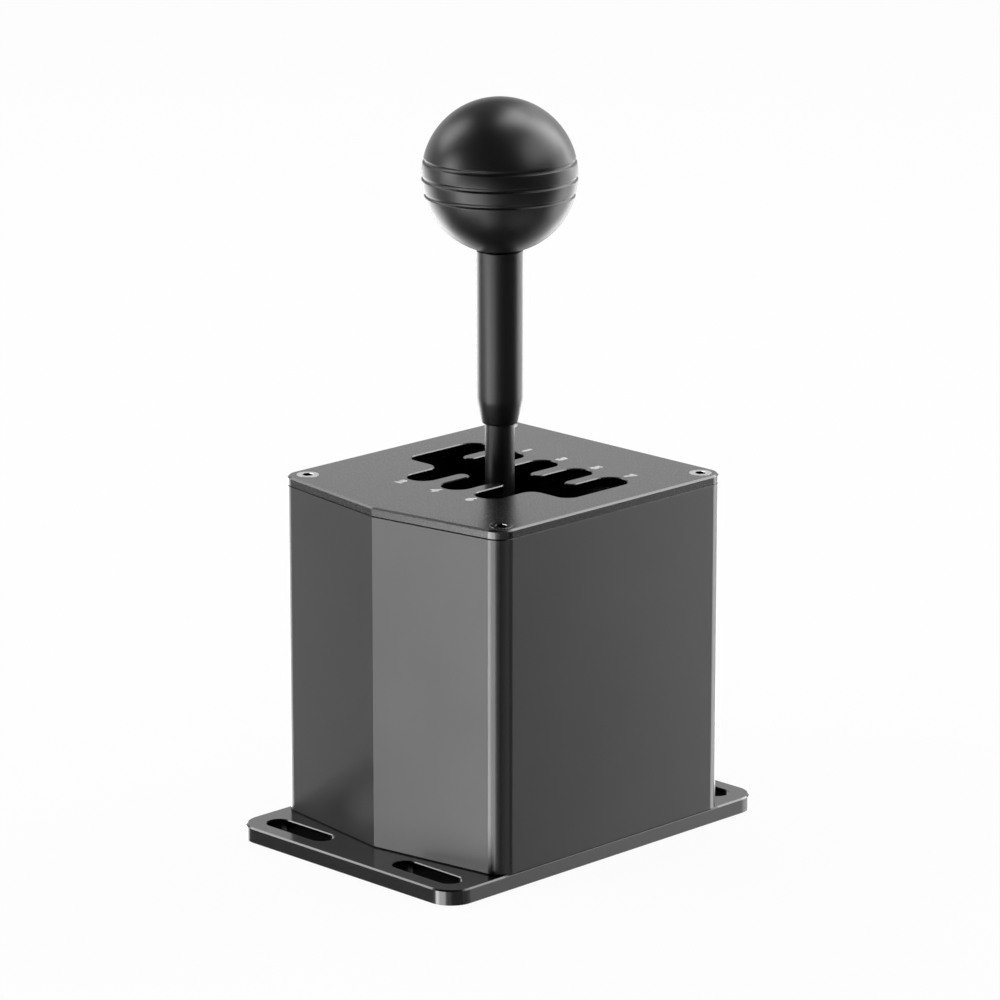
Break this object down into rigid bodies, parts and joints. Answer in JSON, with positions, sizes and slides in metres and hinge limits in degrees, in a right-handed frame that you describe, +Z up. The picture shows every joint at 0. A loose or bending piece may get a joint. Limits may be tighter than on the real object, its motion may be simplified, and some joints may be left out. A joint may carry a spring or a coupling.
{
  "type": "sim racing gear shifter",
  "caption": "H-pattern gear shifter for racing games: slotted base plate, box housing with a ridged rear face, slotted gate plate, and a lever on crossed axes with a grooved ball knob.",
  "frame": {"origin": "middle of the base plate's underside, straight under the lever at rest", "axes": "+Z up along the lever at rest; +Y away from the driver, toward the row with reverse, 1, 3, 5 and 7; +X to the driver's right"},
  "size_m": [0.1, 0.1434, 0.2415],
  "materials": {
    "anodised_housing": "black anodised, fine satin",
    "anodised_plate": "dark grey anodised, bead blasted",
    "black_grip": "satin black",
    "machined_aluminium": "machined",
    "steel": "turned, satin",
    "black_steel": "black oxide",
    "screw_steel": "plain zinc",
    "spring_steel": "drawn wire",
    "bronze": "sintered bronze",
    "brass": "turned",
    "circuit_board": "green solder mask",
    "chip_plastic": "moulded black",
    "magnet_nickel": "nickel plated",
    "number_paint": "white print"
  },
  "bodies": {
    "shell": {"base_plate": "anodised_housing", "housing": "anodised_housing", "gate_plate": "anodised_plate", "gate_screws": "screw_steel", "base_screws": "screw_steel", "bracket_screws": "screw_steel", "front_bearing_bracket": "machined_aluminium", "rear_bearing_bracket": "machined_aluminium", "front_select_bush": "bronze", "rear_select_bush": "bronze", "spring_cups": "machined_aluminium", "main_board": "circuit_board", "board_standoffs": "steel", "board_screws": "steel", "usb_socket": "steel", "usb_tongue": "chip_plastic", "position_sensor": "chip_plastic", "board_chips": "chip_plastic", "left_centring_spring": "spring_steel", "right_centring_spring": "spring_steel"},
    "rocker": {"rocker_frame": "machined_aluminium", "trunnions": "steel", "trunnion_clips": "spring_steel", "shift_pin": "steel", "pin_set_screws": "steel", "pin_spacers": "bronze", "detent_spring": "spring_steel", "detent_screw": "steel"},
    "lever": {"lever_hub": "machined_aluminium", "hub_bushes": "bronze", "hub_grub_screws": "steel", "sensor_magnet": "magnet_nickel", "detent_plate": "steel", "detent_plate_screws": "steel", "lever_shaft": "black_steel", "lever_sleeve": "black_grip", "knob_insert": "brass", "shift_knob": "black_grip"}
  },
  "joints": [
    {"name": "select", "type": "hinge", "parent": "shell", "child": "rocker", "pos_m": [0, 0, 0.03], "axis": [0, 1, 0], "range_deg": [-10.2, 10.2], "stiffness_Nm_per_rad": 4, "deforming": ["left_centring_spring", "right_centring_spring"]},
    {"name": "shift", "type": "hinge", "parent": "rocker", "child": "lever", "pos_m": [0, 0, 0.03], "axis": [-1, 0, 0], "range_deg": [-12, 12], "deforming": ["detent_spring"]}
  ]
}
